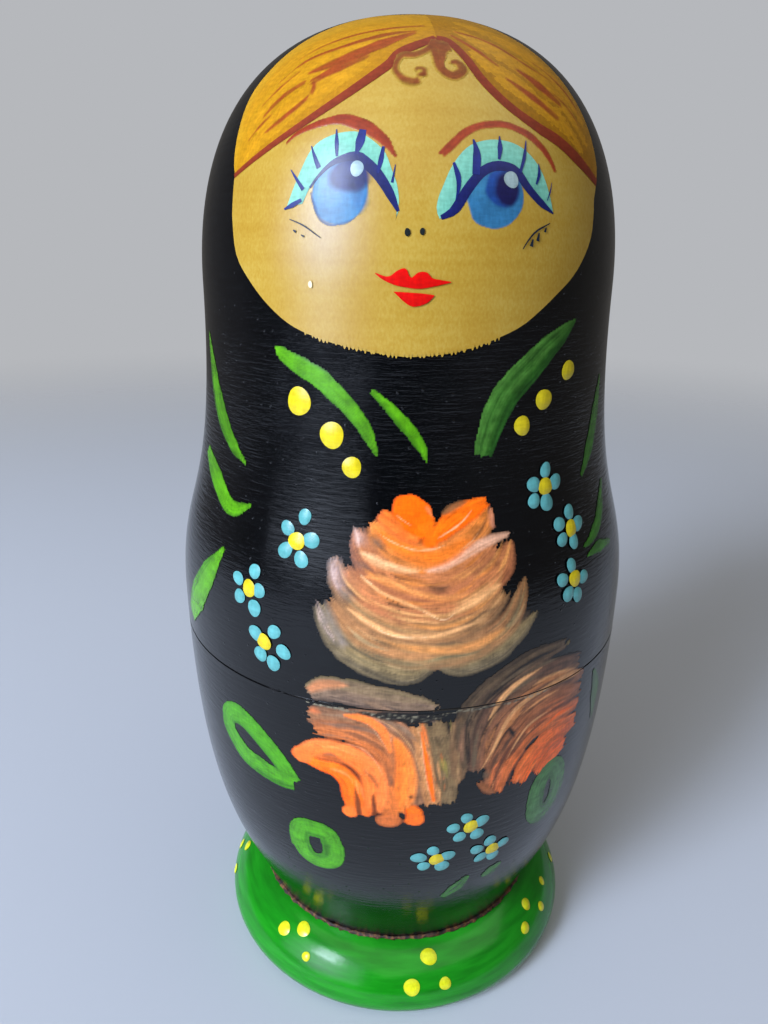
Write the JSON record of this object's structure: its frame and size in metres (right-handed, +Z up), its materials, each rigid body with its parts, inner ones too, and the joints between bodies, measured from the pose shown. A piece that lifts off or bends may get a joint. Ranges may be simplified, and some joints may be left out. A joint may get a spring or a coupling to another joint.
{
  "type": "nesting doll",
  "caption": "Turned wooden nesting doll in black lacquer on a green foot: hollow halves slip together on a spigot at the belly, and a smaller doll stands inside each one",
  "frame": {"origin": "centre of the outer foot's flat underside", "axes": "+Z up along the turning axis, the painted face looks along -Y, +X to the right of someone facing the doll"},
  "size_m": [0.0728, 0.0728, 0.15],
  "materials": {
    "black_lacquered_wood": "black brushed lacquer on turned wood, bare wood inside",
    "green_lacquered_wood": "green gloss lacquer on turned wood"
  },
  "bodies": {
    "outer_lower_half": {"outer_lower": "black_lacquered_wood", "outer_foot": "green_lacquered_wood"},
    "second_lower_half": {"second_lower": "black_lacquered_wood", "second_foot": "green_lacquered_wood"},
    "third_lower_half": {"third_lower": "black_lacquered_wood", "third_foot": "green_lacquered_wood"},
    "fourth_lower_half": {"fourth_lower": "black_lacquered_wood", "fourth_foot": "green_lacquered_wood"},
    "smallest_doll": {"smallest_body": "black_lacquered_wood", "smallest_foot": "green_lacquered_wood"},
    "fourth_upper_half": {"fourth_upper": "black_lacquered_wood"},
    "third_upper_half": {"third_upper": "black_lacquered_wood"},
    "second_upper_half": {"second_upper": "black_lacquered_wood"},
    "outer_upper_half": {"outer_upper": "black_lacquered_wood"}
  },
  "joints": [
    {"name": "second_doll_lift", "type": "slide", "parent": "outer_lower_half", "child": "second_lower_half", "axis": [0, 0, 1], "range_m": [0, 0.06]},
    {"name": "third_doll_lift", "type": "slide", "parent": "second_lower_half", "child": "third_lower_half", "axis": [0, 0, 1], "range_m": [0, 0.045]},
    {"name": "fourth_doll_lift", "type": "slide", "parent": "third_lower_half", "child": "fourth_lower_half", "axis": [0, 0, 1], "range_m": [0, 0.034]},
    {"name": "smallest_doll_lift", "type": "slide", "parent": "fourth_lower_half", "child": "smallest_doll", "axis": [0, 0, 1], "range_m": [0, 0.025]},
    {"name": "fourth_top_lift", "type": "slide", "parent": "smallest_doll", "child": "fourth_upper_half", "axis": [0, 0, 1], "range_m": [0, 0.028]},
    {"name": "third_top_lift", "type": "slide", "parent": "fourth_upper_half", "child": "third_upper_half", "axis": [0, 0, 1], "range_m": [0, 0.04]},
    {"name": "second_top_lift", "type": "slide", "parent": "third_upper_half", "child": "second_upper_half", "axis": [0, 0, 1], "range_m": [0, 0.055]},
    {"name": "outer_top_lift", "type": "slide", "parent": "second_upper_half", "child": "outer_upper_half", "axis": [0, 0, 1], "range_m": [0, 0.075]}
  ]
}
